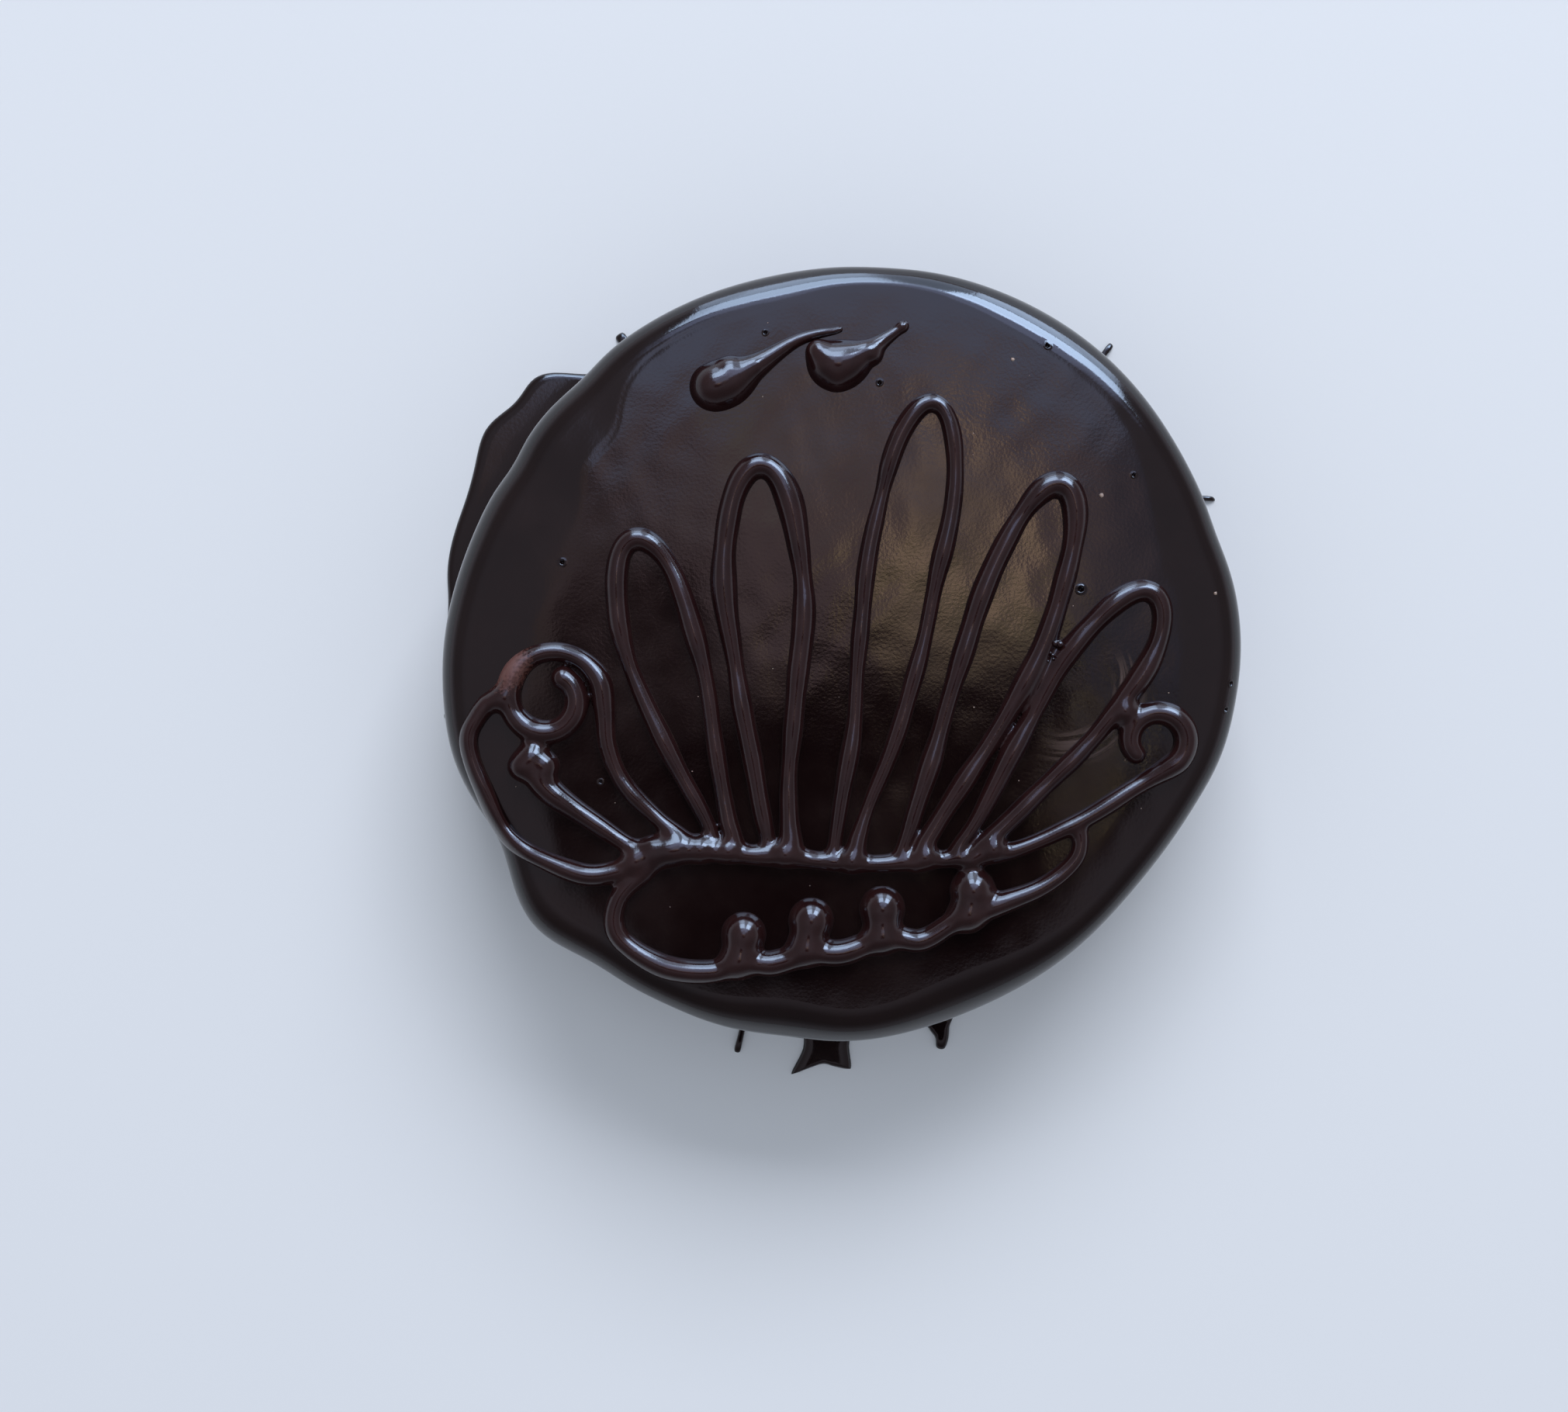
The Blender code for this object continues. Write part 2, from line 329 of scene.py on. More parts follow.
link(grain_bump.outputs["Normal"], set_out.inputs["Normal"])


def add_setting(material, cloud_scale, grain_scale, grain_depth):
    """Places the setting effect in a material, with its own sizes, and joins on its normal."""
    group = material.node_tree.nodes.new("ShaderNodeGroup")
    group.node_tree = setting
    group.inputs["Cloud Scale"].default_value = cloud_scale
    group.inputs["Grain Scale"].default_value = grain_scale
    group.inputs["Grain Depth"].default_value = grain_depth
    shader = material.node_tree.nodes["Principled BSDF"]
    material.node_tree.links.new(group.outputs["Normal"], shader.inputs["Normal"])
    return group


def add_ramp(material, source, stops, target):
    """Runs a value through a colour ramp of (place, colour) stops into a shader's input."""
    ramp = material.node_tree.nodes.new("ShaderNodeValToRGB")
    for element, (place, colour) in zip(ramp.color_ramp.elements, stops):
        element.position = place
        element.color = colour
    material.node_tree.links.new(source, ramp.inputs["Fac"])
    shader = material.node_tree.nodes["Principled BSDF"]
    material.node_tree.links.new(ramp.outputs["Color"], shader.inputs[target])
    return ramp


def grey(value):
    return (value, value, value, 1.0)


# Glaze: chocolate boiled with sugar, near black, with a mirror gloss that clouds in places
glaze = bpy.data.materials.new("chocolate_glaze")
glaze.use_nodes = True
glaze_shader = glaze.node_tree.nodes["Principled BSDF"]
glaze_shader.inputs["IOR"].default_value = 1.5
glaze_setting = add_setting(glaze, cloud_scale=28, grain_scale=1100, grain_depth=0.000011)
glaze_dark = (0.0036, 0.0012, 0.0013, 1.0)
glaze_brown = (0.0074, 0.0030, 0.0028, 1.0)
glaze_colour = add_ramp(
    glaze, glaze_setting.outputs["Clouds"], ((0.35, glaze_dark), (0.70, glaze_brown)), "Base Color"
)
glaze_gloss = add_ramp(
    glaze, glaze_setting.outputs["Clouds"], ((0.40, grey(0.075)), (0.68, grey(0.15))), "Roughness"
)

# At the right a cloth wiped through the glaze while it set, and left dull curved streaks. Their light brown
# is partly painted sheen: it stands in for the light that the streaks' low ridges catch. They run round
# this centre, between two radii and two directions
wiped_centre = (0.0590, -0.0085)
bristles_per_metre = 700.0
wiped = bpy.data.node_groups.new("wiped_streaks", "ShaderNodeTree")
wiped.interface.new_socket("Streaks", in_out="OUTPUT", socket_type="NodeSocketFloat")
wiped_out = wiped.nodes.new("NodeGroupOutput")
wiped_place = wiped.nodes.new("ShaderNodeTexCoord")
from_middle = wiped.nodes.new("ShaderNodeVectorMath")
from_middle.operation = "MULTIPLY_ADD"
from_middle.inputs[1].default_value = (1, 1, 0)
from_middle.inputs[2].default_value = (-wiped_centre[0], -wiped_centre[1], 0)
sweep = wiped.nodes.new("ShaderNodeVectorMath")
sweep.operation = "LENGTH"
sideways = wiped.nodes.new("ShaderNodeSeparateXYZ")
turned = wiped.nodes.new("ShaderNodeMath")
turned.operation = "ARCTAN2"
bristles = wiped.nodes.new("ShaderNodeCombineXYZ")
bristle_noise = wiped.nodes.new("ShaderNodeTexNoise")
bristle_noise.inputs["Scale"].default_value = 1.0
bristle_noise.inputs["Detail"].default_value = 3.0
spread = wiped.nodes.new("ShaderNodeMath")
spread.operation = "MULTIPLY"
spread.inputs[1].default_value = bristles_per_metre
link = wiped.links.new
link(wiped_place.outputs["Object"], from_middle.inputs[0])
link(from_middle.outputs["Vector"], sweep.inputs[0])
link(from_middle.outputs["Vector"], sideways.inputs["Vector"])
link(sideways.outputs["Y"], turned.inputs[0])
link(sideways.outputs["X"], turned.inputs[1])
link(sweep.outputs["Value"], spread.inputs[0])
link(spread.outputs["Value"], bristles.inputs["X"])
link(turned.outputs["Value"], bristles.inputs["Y"])
link(bristles.outputs["Vector"], bristle_noise.inputs["Vector"])
streaks = None
for source, start, end in (
    (bristle_noise.outputs["Fac"], 0.42, 0.62),
    (sweep.outputs["Value"], 0.0125, 0.0165),
    (sweep.outputs["Value"], 0.0245, 0.0205),
    (turned.outputs["Value"], -2.0, -1.1),
    (turned.outputs["Value"], 0.55, -0.10),
):
    within = wiped.nodes.new("ShaderNodeMapRange")
    within.interpolation_type = "SMOOTHSTEP"
    within.inputs["From Min"].default_value = start
    within.inputs["From Max"].default_value = end
    link(source, within.inputs["Value"])
    if streaks is None:
        streaks = within.outputs["Result"]
        continue
    both = wiped.nodes.new("ShaderNodeMath")
    both.operation = "MULTIPLY"
    link(streaks, both.inputs[0])
    link(within.outputs["Result"], both.inputs[1])
    streaks = both.outputs["Value"]
link(streaks, wiped_out.inputs["Streaks"])

glaze_wiped = glaze.node_tree.nodes.new("ShaderNodeGroup")
glaze_wiped.node_tree = wiped
# Light brown of the wiped streaks: a duller film, partly painted sheen standing in for the light their
# ridges catch
wiped_film_and_sheen = (0.072, 0.047, 0.041, 1.0)
for clean, streak_value, target in (
    (glaze_colour, wiped_film_and_sheen, "Base Color"),
    (glaze_gloss, grey(0.32), "Roughness"),
):
    blended = glaze.node_tree.nodes.new("ShaderNodeMix")
    blended.data_type = "RGBA"
    blended.inputs["B"].default_value = streak_value
    glaze.node_tree.links.new(glaze_wiped.outputs["Streaks"], blended.inputs["Factor"])
    glaze.node_tree.links.new(clean.outputs["Color"], blended.inputs["A"])
    glaze.node_tree.links.new(blended.outputs["Result"], glaze_shader.inputs[target])
torte.data.materials.append(glaze)

# The sponge shows only underneath, brown and full of crumb
sponge = bpy.data.materials.new("sponge_underside")
sponge.use_nodes = True
sponge_shader = sponge.node_tree.nodes["Principled BSDF"]
sponge_shader.inputs["Specular IOR Level"].default_value = 0.2
sponge_setting = add_setting(sponge, cloud_scale=180, grain_scale=700, grain_depth=0.0006)
crumb_dark = (0.020, 0.009, 0.005, 1.0)
crumb_light = (0.085, 0.040, 0.022, 1.0)
sponge_clouds = sponge_setting.outputs["Clouds"]
add_ramp(sponge, sponge_clouds, ((0.3, crumb_dark), (0.7, crumb_light)), "Base Color")
add_ramp(sponge, sponge_clouds, ((0.3, grey(0.95)), (0.7, grey(0.85))), "Roughness")
torte.data.materials.append(sponge)

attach(torte, "root")
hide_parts("cake")


# The run-off at the foot: glaze that dripped off while it was still runny and set where it
# lay. A broad tongue and a small one at the front, thin trickles and a few drops round the
# rest, each a low rounded pool of the same glaze that touches the wall.
def smooth_loop(points, steps):
    """Points along the closed Catmull-Rom curve through these corner points."""
    points = [np.array(point) for point in points]
    curve = []
    for i in range(len(points)):
        before, start, end, after = (points[(i + j) % len(points)] for j in (-1, 0, 1, 2))
        for step in range(steps):
            t = step / steps
            bend = 2 * before - 5 * start + 4 * end - after
            twist = 3 * start - before - 3 * end + after
            curve.append(start + ((end - before) * t + bend * t**2 + twist * t**3) / 2)
    return np.array(curve)


def add_pool(build, outline, height):
    """A closed low dome over an outline: steep at its edge and nearly flat in the middle."""
    centre = outline.mean(axis=0)
    levels = []
    rim_share = 0.45
    for share in (0, 0.04, 0.10, 0.18, 0.30, rim_share, 0.62, 0.80):
        points = centre + (outline - centre) * (1 - share)
        rise = height * math.sqrt(1 - (1 - min(share / rim_share, 1)) ** 2)
        levels.append([build.verts.new((x, y, rise)) for x, y in points])
    for lower, upper in zip(levels, levels[1:]):
        for i in range(len(lower)):
            after = (i + 1) % len(lower)
            build.faces.new((lower[i], lower[after], upper[after], upper[i]))
    build.faces.new(levels[-1])
    build.faces.new(reversed(levels[0]))


def trickle_outline(direction, start, end, width, lean):
    """A narrow tongue with a round tip, running out from radius start to radius end."""
    along = np.array((0, 0.25, 0.50, 0.75, 0.92, 1.0))
    half = width / 2 * np.array((1.1, 0.95, 0.90, 0.95, 1.0, 0.6))
    radius = start + (end - start) * along
    swing = lean * along**1.5
    sides = [(r, s + h) for r, s, h in zip(radius, swing, half)]
    sides += [(r, s - h) for r, s, h in zip(radius, swing, half)][::-1]
    angle = math.radians(direction)
    ahead = np.array((math.cos(angle), math.sin(angle)))
    aside = np.array((-ahead[1], ahead[0]))
    return [ahead * r + aside * s for r, s in sides][::-1]


broad_tongue = (
    (-0.0088, -0.1065),
    (-0.0104, -0.1150),
    (-0.0136, -0.1216),
    (-0.0128, -0.1222),
    (-0.0085, -0.1206),
    (-0.0045, -0.1194),
    (-0.0012, -0.1202),
    (0.0026, -0.1209),
    (0.0036, -0.1200),
    (0.0030, -0.1140),
    (0.0034, -0.1065),
)
small_tongue = (
    (0.0240, -0.1050),
    (0.0262, -0.1092),
    (0.0280, -0.1118),
    (0.0284, -0.1146),
    (0.0306, -0.1150),
    (0.0318, -0.1122),
    (0.0322, -0.1085),
    (0.0330, -0.1040),
)
# Direction in degrees, how far past the wall, width, and how far the tip swings aside
trickles = (
    (255.6, 0.0118, 0.0019, 0.0002),
    (48.2, 0.0118, 0.0018, 0.0006),
    (24.6, 0.0110, 0.0017, -0.0048),
    (124.5, 0.0088, 0.0030, 0.0003),
    (189.2, 0.0060, 0.0018, 0.0),
    (347.2, 0.0070, 0.0016, 0.0),
    (2.0, 0.0068, 0.0018, 0.0004),
)
trickle_tuck = 0.002  # how far each starts under the wall
broad_height = 0.0017
small_height = 0.0015
trickle_height = 0.0012
run_off_build = bmesh.new()
add_pool(run_off_build, smooth_loop(broad_tongue[::-1], 6)[::-1], broad_height)
add_pool(run_off_build, smooth_loop(small_tongue[::-1], 5)[::-1], small_height)
for direction, past, width, lean in trickles:
    edge_radius = float(wall_at(np.array(float(direction))))
    start = edge_radius - trickle_tuck
    outline = trickle_outline(direction, start, edge_radius + past, width, lean)
    add_pool(run_off_build, smooth_loop(outline, 3), trickle_height)
bmesh.ops.recalc_face_normals(run_off_build, faces=run_off_build.faces)
run_off = add_piece("glaze_run_off", run_off_build, edge_crease)
run_off.data.materials.append(glaze)
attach(run_off, "root")


# The flourish: dark chocolate piped freehand in one thickness of rope. Five teardrop petals
# stand on a swag that ends in a curl, with a volute and two loose strokes at the left and a
# scalloped line with four knobs below. Where strokes meet they melted into one another.

# Base, tip, half width of the loop, how far it bows sideways, and the rope's width at the
# petal's foot and at its tip
petals = (
    ((-0.0335, -0.0480), (-0.0570, 0.0300), 0.0082, -0.0005, (0.0042, 0.0060)),
    ((-0.0170, -0.0500), (-0.0220, 0.0500), 0.0088, -0.0015, (0.0046, 0.0068)),
    ((0.0010, -0.0525), (0.0240, 0.0665), 0.0084, 0.0015, (0.0042, 0.0048)),
    ((0.0195, -0.0515), (0.0590, 0.0440), 0.0086, 0.0020, (0.0046, 0.0062)),
    ((0.0355, -0.0510), (0.0830, 0.0150), 0.0082, 0.0020, (0.0044, 0.0058)),
)
leg_spacing = 0.0026
leg_overlap = 0.0072
volute_tail = (
    (-0.0425, -0.0530, 0.0040),
    (-0.0500, -0.0465, 0.0042),
    (-0.0575, -0.0380, 0.0046),
    (-0.0630, -0.0260, 0.0048),
)
volute_turn = ((-0.0790, -0.0135), (0.0148, -10), (0.0060, 440))
volute_widths = (0.0050, 0.0068)
# Strokes: x, y and the rope's width at each point, in the order they are piped
swag_line = (
    (-0.0480, -0.0545, 0.0060),
    (-0.0390, -0.0545, 0.0052),
    (-0.0184, -0.0560, 0.0048),
    (0.0049, -0.0583, 0.0043),
    (0.0366, -0.0560, 0.0040),
    (0.0620, -0.0475, 0.0042),
    (0.0790, -0.0380, 0.0046),
)
swag_turn = ((0.0835, -0.0245), (0.0092, -60), (0.0052, 250))
swag_turn_widths = (0.0060, 0.0054)
scallop_line = (
    (-0.0500, -0.0560, 0.0050),
    (-0.0540, -0.0610, 0.0048),
    (-0.0607, -0.0683, 0.0050),
    (-0.0605, -0.0775, 0.0052),
    (-0.0490, -0.0853, 0.0054),
    (-0.0345, -0.0863, 0.0056),
    (-0.0270, -0.0838, 0.0056),
    (-0.0190, -0.0850, 0.0062),
    (-0.0086, -0.0820, 0.0058),
    (0.0000, -0.0818, 0.0062),
    (0.0111, -0.0782, 0.0056),
    (0.0203, -0.0790, 0.0058),
    (0.0300, -0.0742, 0.0054),
    (0.0385, -0.0710, 0.0054),
    (0.0535, -0.0640, 0.0046),
    (0.0628, -0.0560, 0.0042),
    (0.0640, -0.0480, 0.0038),
)
# Each knob stands on the scalloped line: where it starts and the middle of its head
knobs = (
    ((-0.0282, -0.0842), (-0.0267, -0.0769)),
    ((-0.0100, -0.0803), (-0.0086, -0.0729)),
    ((0.0108, -0.0774), (0.0109, -0.0700)),
    ((0.0338, -0.0714), (0.0354, -0.0649)),
)
knob_widths = (0.0104, 0.0098, 0.0124)
side_loop = (
    (-0.0940, -0.0130, 0.0046),
    (-0.0978, -0.0185, 0.0040),
    (-0.1005, -0.0260, 0.0042),
    (-0.0980, -0.0375, 0.0042),
    (-0.0903, -0.0514, 0.0044),
    (-0.0712, -0.0603, 0.0048),
    (-0.0580, -0.0590, 0.0050),
    (-0.0520, -0.0555, 0.0052),
)
side_spur = (
    (-0.0850, -0.0290, 0.0062),
    (-0.0820, -0.0345, 0.0058),
    (-0.0760, -0.0410, 0.0050),
    (-0.0600, -0.0520, 0.0046),
    (-0.0530, -0.0545, 0.0050),
)
knot = (
    (-0.0545, -0.0540, 0.0070),
    (-0.0480, -0.0545, 0.0085),
    (-0.0415, -0.0535, 0.0060),
)
# Pools where strokes ran together: x, y and radius
pools = (
    (-0.0835, -0.0290, 0.0042),
    (-0.0865, -0.0318, 0.0036),
    (-0.0800, -0.0318, 0.0034),
    (-0.0925, -0.0135, 0.0030),
    (-0.0560, -0.0570, 0.0034),
    (-0.0385, -0.0540, 0.0036),
    (-0.0310, -0.0545, 0.0028),
    (-0.0160, -0.0552, 0.0032),
    (0.0020, -0.0572, 0.0028),
    (0.0225, -0.0562, 0.0028),
    (0.0405, -0.0540, 0.0030),
    (0.0760, -0.0170, 0.0030),
)


def petal_stroke(base, tip, half_width, bow, widths):
    """A teardrop loop piped up one leg, round the tip and down the other. Both legs run on
    past the petal's foot into the swag."""
    turn = np.linspace(0, 2 * math.pi, 29)[:, None]
    along = (1 - np.cos(turn)) / 2
    widest = 0.70
    aside = half_width / widest * np.sin(turn) * np.sin(turn / 2) ** 1.5
    aside += leg_spacing * np.cos(turn / 2) + bow * np.sin(math.pi * along)
    base = np.array(base)
    ahead = np.array(tip) - base
    ahead_unit = ahead / np.hypot(*ahead)
    right = np.array((ahead_unit[1], -ahead_unit[0]))
    width = widths[0] + (widths[1] - widths[0]) * along
    stroke = np.hstack([base + along * ahead + aside * right, width])
    run_on = np.array([*(ahead_unit * -leg_overlap), 0])
    return np.vstack([stroke[0] + run_on, stroke, stroke[-1] + run_on])


def spiral_stroke(turn, widths):
    """Points round a spiral whose radius and width change evenly with the angle."""
    centre, (first_radius, first_angle), (last_radius, last_angle) = turn
    t = np.linspace(0, 1, math.ceil((last_angle - first_angle) / 30) + 1)
    radius = first_radius + (last_radius - first_radius) * t
    angle = np.radians(first_angle + (last_angle - first_angle) * t)
    x = centre[0] + radius * np.cos(angle)
    y = centre[1] + radius * np.sin(angle)
    width = widths[0] + (widths[1] - widths[0]) * t
    return np.stack([x, y, width], axis=1)


def smooth_stroke(points, spacing=0.0004):
    """Points close together along the curve through a stroke's points, and the way along it."""
    points = np.array(points, float)
    points = np.vstack([2 * points[0] - points[1], points, 2 * points[-1] - points[-2]])
    curve = []
    for before, start, end, after in zip(points, points[1:], points[2:], points[3:]):
        steps = max(2, math.ceil(np.hypot(*(end - start)[:2]) / spacing))
        for step in range(steps):
            t = step / steps
            bend = 2 * before - 5 * start + 4 * end - after
            twist = 3 * start - before - 3 * end + after
            curve.append(start + ((end - before) * t + bend * t**2 + twist * t**3) / 2)
    curve = np.array(curve)
    gaps = np.hypot(*np.diff(curve[:, :2], axis=0).T)
    return curve, np.concatenate([[0], np.cumsum(gaps)])


def hand_piped(points, seed, unevenness=0.10, wander=0.0005, blob=0.14, taper=0.10, trim=0.42):
    """Spheres along a stroke, x, y and radius, with the slow swellings and wanderings of a
    hand: a blob where the stroke starts and a thinner end. Both ends are trimmed by a share
    of the width, which the spheres' own roundness fills."""
    curve, length = smooth_stroke(points)
    draw = np.random.default_rng(seed)
    swelling = np.zeros(len(curve))
    drift = np.zeros((len(curve), 2))
    longest = 0.047
    for wave_length in (longest, 0.029, 0.016):
        phase = draw.random(3) * 2 * math.pi
        swelling += np.sin(length / wave_length * 2 * math.pi + phase[0]) * wave_length / longest
        for axis in (0, 1):
            sway = np.sin(length / wave_length * math.pi + phase[1 + axis])
            drift[:, axis] += sway * wave_length / longest
    lost_in_smoothing = 0.0001
    radius = curve[:, 2] / 2 * (1 + unevenness * swelling) + lost_in_smoothing
    blob_place = 0.8
    from_start = length / curve[0, 2]
    from_end = (length[-1] - length) / curve[-1, 2]
    swollen = blob * np.exp(-((from_start - blob_place) ** 2))
    radius *= 1 + swollen - taper * np.exp(-(from_end**2) / 2)
    inside = (length >= trim * curve[0, 2]) & (length <= length[-1] - trim * curve[-1, 2])
    places = curve[:, :2] + wander * drift
    return np.column_stack([places, radius])[inside]


def smooth_union(first, second, blend):
    """Joins two distance fields with a fillet about this size."""
    mix = np.clip(0.5 + 0.5 * (second - first) / blend, 0, 1)
    return second * (1 - mix) + first * mix - blend * mix * (1 - mix)


def piped_field(strokes, cell, blend, crest_share, crest_most, deep=0.0006, tall=0.0070):
    """Distance field of strokes laid on a flat plane, stretched upwards a little. A sphere's
    crest stands at a share of its radius, but wide ones spread and stay near crest_most.
    Everything lower than deep under the plane is cut off."""
    reach = 0.0025
    margin = 0.009
    upward_stretch = 1.22
    wide_share = 0.30
    low = np.array([min(s[:, axis].min() for s in strokes) for axis in (0, 1)]) - margin
    high = np.array([max(s[:, axis].max() for s in strokes) for axis in (0, 1)]) + margin
    origin = np.array([low[0], low[1], -deep - 3 * cell])
    count = np.ceil((np.array([high[0], high[1], tall]) - origin) / cell).astype(int) + 1
    axes = [origin[axis] + cell * np.arange(count[axis]) for axis in range(3)]
    field = np.full(count, reach, np.float32)
    for stroke in strokes:
        bead = np.full(count, reach, np.float32)
        for x, y, radius in stroke:
            middle_height = min(crest_share * radius, crest_most + wide_share * radius) - radius
            first = [int((value - radius - reach - start) / cell) for value, start in zip((x, y), low)]
            last = [int((value + radius + reach - start) / cell) + 2 for value, start in zip((x, y), low)]
            across = (axes[0][first[0]:last[0]] - x)[:, None, None] ** 2
            beside = (axes[1][first[1]:last[1]] - y)[None, :, None] ** 2
            upward = (axes[2] / upward_stretch - middle_height)[None, None, :] ** 2
            block = bead[first[0]:last[0], first[1]:last[1]]
            np.minimum(block, np.sqrt(across + beside + upward) - radius, out=block)
        field = smooth_union(field, bead, blend)
    for axis in range(3):
        before = np.take(field, np.r_[0, 0:count[axis] - 1], axis)
        after = np.take(field, np.r_[1:count[axis], count[axis] - 1], axis)
        field = (before + 2 * field + after) / 4
    under = -(axes[2][None, None, :] + deep)
    return np.maximum(field, under), origin


def skin_of(field, origin, cell):
    """Points and four-sided faces of the smooth closed skin round the cells below zero."""
    shape = np.array(field.shape) - 1
    total = np.zeros((shape.prod(), 3))
    crossings = np.zeros(shape.prod())
    faces = []
    for axis in range(3):
        near = np.take(field, range(field.shape[axis] - 1), axis)
        far = np.take(field, range(1, field.shape[axis]), axis)
        cut = np.argwhere((near < 0) != (far < 0))
        values = near[tuple(cut.T)], far[tuple(cut.T)]
        place = cut.astype(float)
        place[:, axis] += values[0] / (values[0] - values[1])
        others = [other for other in range(3) if other != axis]
        around_edge = []
        for step in ((0, 0), (-1, 0), (-1, -1), (0, -1)):
            neighbour = cut.copy()
            neighbour[:, others[0]] += step[0]
            neighbour[:, others[1]] += step[1]
            number = np.ravel_multi_index(tuple(neighbour.T), shape)
            around_edge.append(number)
            for part in range(3):
                total[:, part] += np.bincount(number, place[:, part], len(total))
            crossings += np.bincount(number, minlength=len(total))
        quads = np.stack(around_edge, axis=1)
        turned = (values[0] < 0) == (axis == 1)
        quads[turned] = quads[turned][:, ::-1]
        faces.append(quads)
    used = np.flatnonzero(crossings)
    renumber = np.full(len(total), -1)
    renumber[used] = np.arange(len(used))
    points = origin + total[used] / crossings[used, None] * cell
    return points, renumber[np.vstack(faces)]


def add_piping(name, strokes, cell, blend, crest_share=1.12, crest_most=0.0026):
    """A piece of piped chocolate lying on the glaze, made from hand-piped strokes."""
    field, origin = piped_field(strokes, cell, blend, crest_share, crest_most)
    points, faces = skin_of(field, origin, cell)
    points[:, 2] += glaze_height(points[:, 0], points[:, 1])
    mesh = bpy.data.meshes.new(name)
    mesh.from_pydata(points.tolist(), [], faces.tolist())
    mesh.validate()
    mesh.shade_smooth()
    piece = bpy.data.objects.new(name, mesh)
    bpy.context.scene.collection.objects.link(piece)
    return piece


strokes = [hand_piped(petal_stroke(*petal), seed) for seed, petal in enumerate(petals, 10)]
strokes.append(hand_piped([*volute_tail, *spiral_stroke(volute_turn, volute_widths)], 20, taper=-0.1))
strokes.append(hand_piped([*swag_line, *spiral_stroke(swag_turn, swag_turn_widths)], 21, 0.05))
strokes.append(hand_piped(scallop_line, 22, 0.05))
for seed, (foot, head) in enumerate(knobs, 30):
    neck = [(start + end) / 2 for start, end in zip(foot, head)]
    knob = [(*foot, knob_widths[0]), (*neck, knob_widths[1]), (*head, knob_widths[2])]
    strokes.append(hand_piped(knob, seed, 0.01, 0.0002, blob=0, taper=0, trim=0))
strokes.append(hand_piped(side_loop, 40, 0.06))
strokes.append(hand_piped(side_spur, 41))
strokes.append(hand_piped(knot, 42))
strokes += [np.array([pool]) for pool in pools]
flourish = add_piping("piped_flourish", strokes, cell=0.00064, blend=0.0022)

# Piping chocolate: plain melted chocolate, browner than the glaze and a little less glossy
piping = bpy.data.materials.new("piped_chocolate")
piping.use_nodes = True
piping_shader = piping.node_tree.nodes["Principled BSDF"]
piping_shader.inputs["IOR"].default_value = 1.5
piping_setting = add_setting(piping, cloud_scale=120, grain_scale=1500, grain_depth=0.000012)
piping_dark = (0.0115, 0.0038, 0.0044, 1.0)
piping_light = (0.0210, 0.0072, 0.0076, 1.0)
piping_brown = add_ramp(
    piping, piping_setting.outputs["Clouds"], ((0.3, piping_dark), (0.72, piping_light)), "Base Color"
)
# On the volute's outer side the chocolate had seized: it set rusty, rough and without gloss
seized_place = (-0.0905, -0.0045, 0.0510)
seized_brown = (0.098, 0.034, 0.025, 1.0)
nodes = piping.node_tree.nodes
link = piping.node_tree.links.new
piping_place = nodes.new("ShaderNodeTexCoord")
seized = nodes.new("ShaderNodeVectorMath")
seized.operation = "DISTANCE"
seized.inputs[1].default_value = seized_place
seized_crumbs = nodes.new("ShaderNodeTexNoise")
seized_crumbs.inputs["Scale"].default_value = 1300.0
seized_ragged = nodes.new("ShaderNodeMath")
seized_ragged.operation = "MULTIPLY_ADD"
seized_ragged.inputs[1].default_value = 0.009
seized_mask = nodes.new("ShaderNodeMapRange")
seized_mask.inputs["From Min"].default_value = 0.0124
seized_mask.inputs["From Max"].default_value = 0.0086
rusty = nodes.new("ShaderNodeMix")
rusty.data_type = "RGBA"
rusty.inputs["B"].default_value = seized_brown
rough = nodes.new("ShaderNodeMix")
rough.data_type = "RGBA"
rough.inputs["B"].default_value = grey(0.55)
link(piping_place.outputs["Object"], seized.inputs[0])
link(piping_place.outputs["Object"], seized_crumbs.inputs["Vector"])
link(seized_crumbs.outputs["Fac"], seized_ragged.inputs[0])
link(seized.outputs["Value"], seized_ragged.inputs[2])
link(seized_ragged.outputs["Value"], seized_mask.inputs["Value"])
link(seized_mask.outputs["Result"], rusty.inputs["Factor"])
link(piping_brown.outputs["Color"], rusty.inputs["A"])
link(rusty.outputs["Result"], piping_shader.inputs["Base Color"])
piping_gloss = add_ramp(
    piping, piping_setting.outputs["Clouds"], ((0.3, grey(0.11)), (0.7, grey(0.17))), "Roughness"
)
link(seized_mask.outputs["Result"], rough.inputs["Factor"])
link(piping_gloss.outputs["Color"], rough.inputs["A"])
link(rough.outputs["Result"], piping_shader.inputs["Roughness"])
flourish.data.materials.append(piping)
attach(flourish, "root")
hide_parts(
    *(f"petal_{number}" for number in range(1, 6)),
    *("volute", "swag", "scallops", "side_loop", "side_spur", "knot"),
)


# The two drops above the fan: each a blob of the same chocolate squeezed out on the glaze and
# pulled away to a thin tail. They spread out, so they are low for their width.
drop_left = (
    (-0.0388, 0.0702, 0.0090),
    (-0.0321, 0.0717, 0.0125),
    (-0.0240, 0.0760, 0.0066),
    (-0.0140, 0.0822, 0.0036),
    (-0.0075, 0.0846, 0.0026),
    (-0.0010, 0.0858, 0.0020),
)
drop_right = (
    (-0.0062, 0.0785, 0.0070),
    (-0.0015, 0.0760, 0.0125),
    (0.0060, 0.0795, 0.0068),
    (0.0115, 0.0835, 0.0036),
    (0.0170, 0.0875, 0.0028),
)
